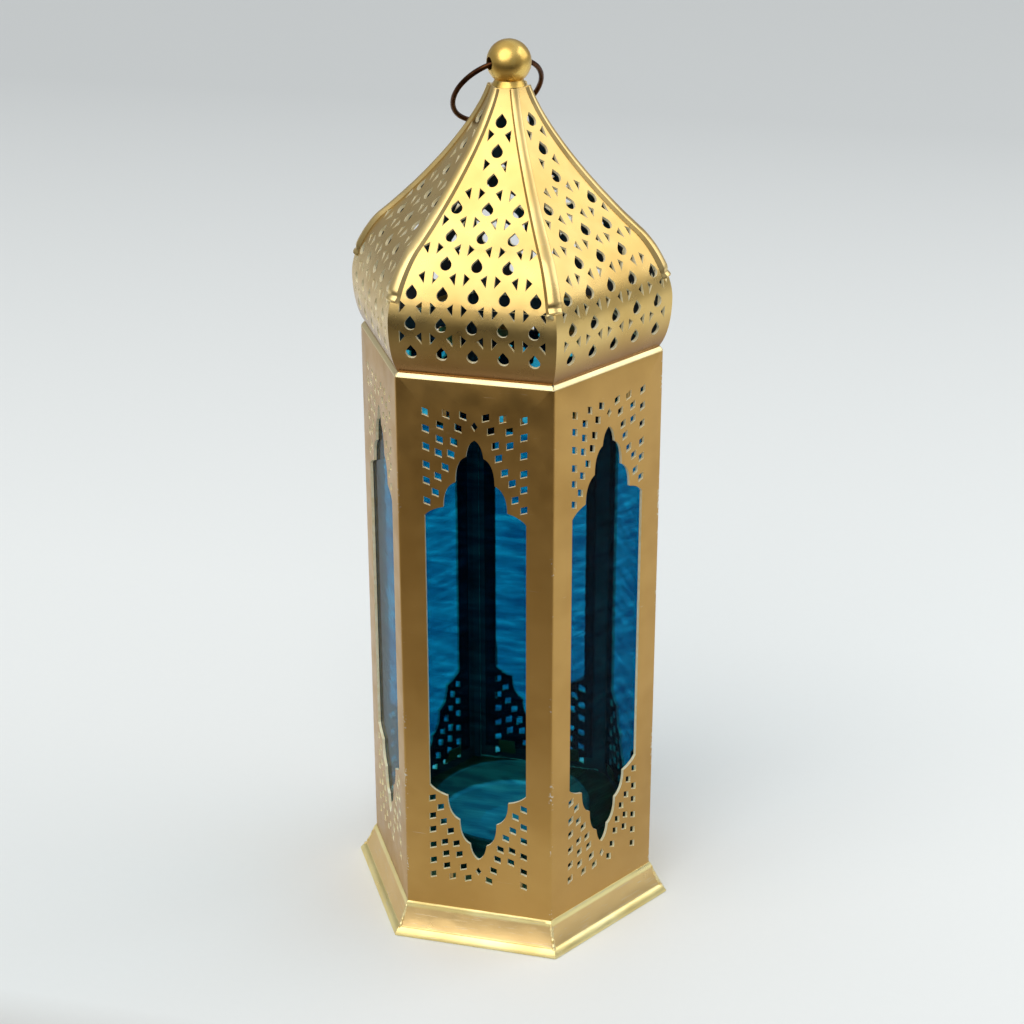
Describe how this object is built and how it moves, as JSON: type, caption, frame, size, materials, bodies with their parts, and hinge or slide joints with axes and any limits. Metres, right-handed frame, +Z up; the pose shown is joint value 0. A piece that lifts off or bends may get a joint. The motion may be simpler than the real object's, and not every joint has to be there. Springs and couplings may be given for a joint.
{
  "type": "hanging lantern",
  "caption": "Six-sided pierced sheet-metal lantern with domed top, blue glass windows, hinged back door, candle cup and a hanging ring.",
  "frame": {"origin": "centre of the foot, on the surface that the lantern stands on", "axes": "+Z up; the front face looks along -Y, the door is at the back on +Y, corners on +X and -X"},
  "size_m": [0.1128, 0.0976, 0.2969],
  "materials": {
    "body_lacquer": "satin gold lacquer on sheet iron",
    "dome_lacquer": "bright satin gold lacquer on sheet iron",
    "rib_lacquer": "bright satin gold lacquer on sheet iron",
    "inner_sheet": "thin dull gold lacquer",
    "cup_gold": "spun, bright gold lacquer",
    "ball_brass": "turned and polished",
    "fitting_gold": "satin gold lacquer",
    "plain_steel": "zinc plated",
    "ring_bronze": "dark bronze wire",
    "blue_glass": "rippled blue glass"
  },
  "bodies": {
    "root": {"base_skirt": "body_lacquer", "floor_plate": "inner_sheet", "candle_cup": "cup_gold", "wall_front": "body_lacquer", "wall_front_right": "body_lacquer", "wall_front_left": "body_lacquer", "wall_back_right": "body_lacquer", "wall_back_left": "body_lacquer", "door_sill": "body_lacquer", "door_lintel": "body_lacquer", "pane_front": "blue_glass", "pane_front_right": "blue_glass", "pane_front_left": "blue_glass", "pane_back_right": "blue_glass", "pane_back_left": "blue_glass", "clips_front": "inner_sheet", "clips_front_right": "inner_sheet", "clips_front_left": "inner_sheet", "clips_back_right": "inner_sheet", "clips_back_left": "inner_sheet", "gore_front": "dome_lacquer", "gore_front_right": "dome_lacquer", "gore_front_left": "dome_lacquer", "gore_back": "dome_lacquer", "gore_back_right": "dome_lacquer", "gore_back_left": "dome_lacquer", "rib_right": "rib_lacquer", "rib_back_right": "rib_lacquer", "rib_back_left": "rib_lacquer", "rib_left": "rib_lacquer", "rib_front_left": "rib_lacquer", "rib_front_right": "rib_lacquer", "finial_ball": "ball_brass", "finial_stud": "plain_steel", "finial_washer": "plain_steel", "finial_nut": "plain_steel", "hinge_upper_body_leaf": "fitting_gold", "hinge_lower_body_leaf": "fitting_gold", "hinge_upper_pin": "plain_steel", "hinge_lower_pin": "plain_steel", "latch_rivet": "plain_steel"},
    "door": {"door_panel": "body_lacquer", "door_pane": "blue_glass", "door_clips": "inner_sheet", "hinge_upper_door_leaf": "fitting_gold", "hinge_lower_door_leaf": "fitting_gold"},
    "turn_button": {"turn_button": "fitting_gold"},
    "hanging_ring": {"hanging_ring": "ring_bronze"}
  },
  "joints": [
    {"name": "door_swing", "type": "hinge", "parent": "root", "child": "door", "pos_m": [-0.0242, 0.0451, 0.10735], "axis": [0, 0, 1], "range_deg": [0, 120]},
    {"name": "button_turn", "type": "hinge", "parent": "root", "child": "turn_button", "pos_m": [0.019, 0.04395, 0.19805], "axis": [0, -1, 0], "range_deg": [0, 90]},
    {"name": "ring_swing", "type": "hinge", "parent": "root", "child": "hanging_ring", "pos_m": [0, 0, 0.29], "axis": [0.766, 0.6428, 0], "range_deg": [0, 283]}
  ]
}
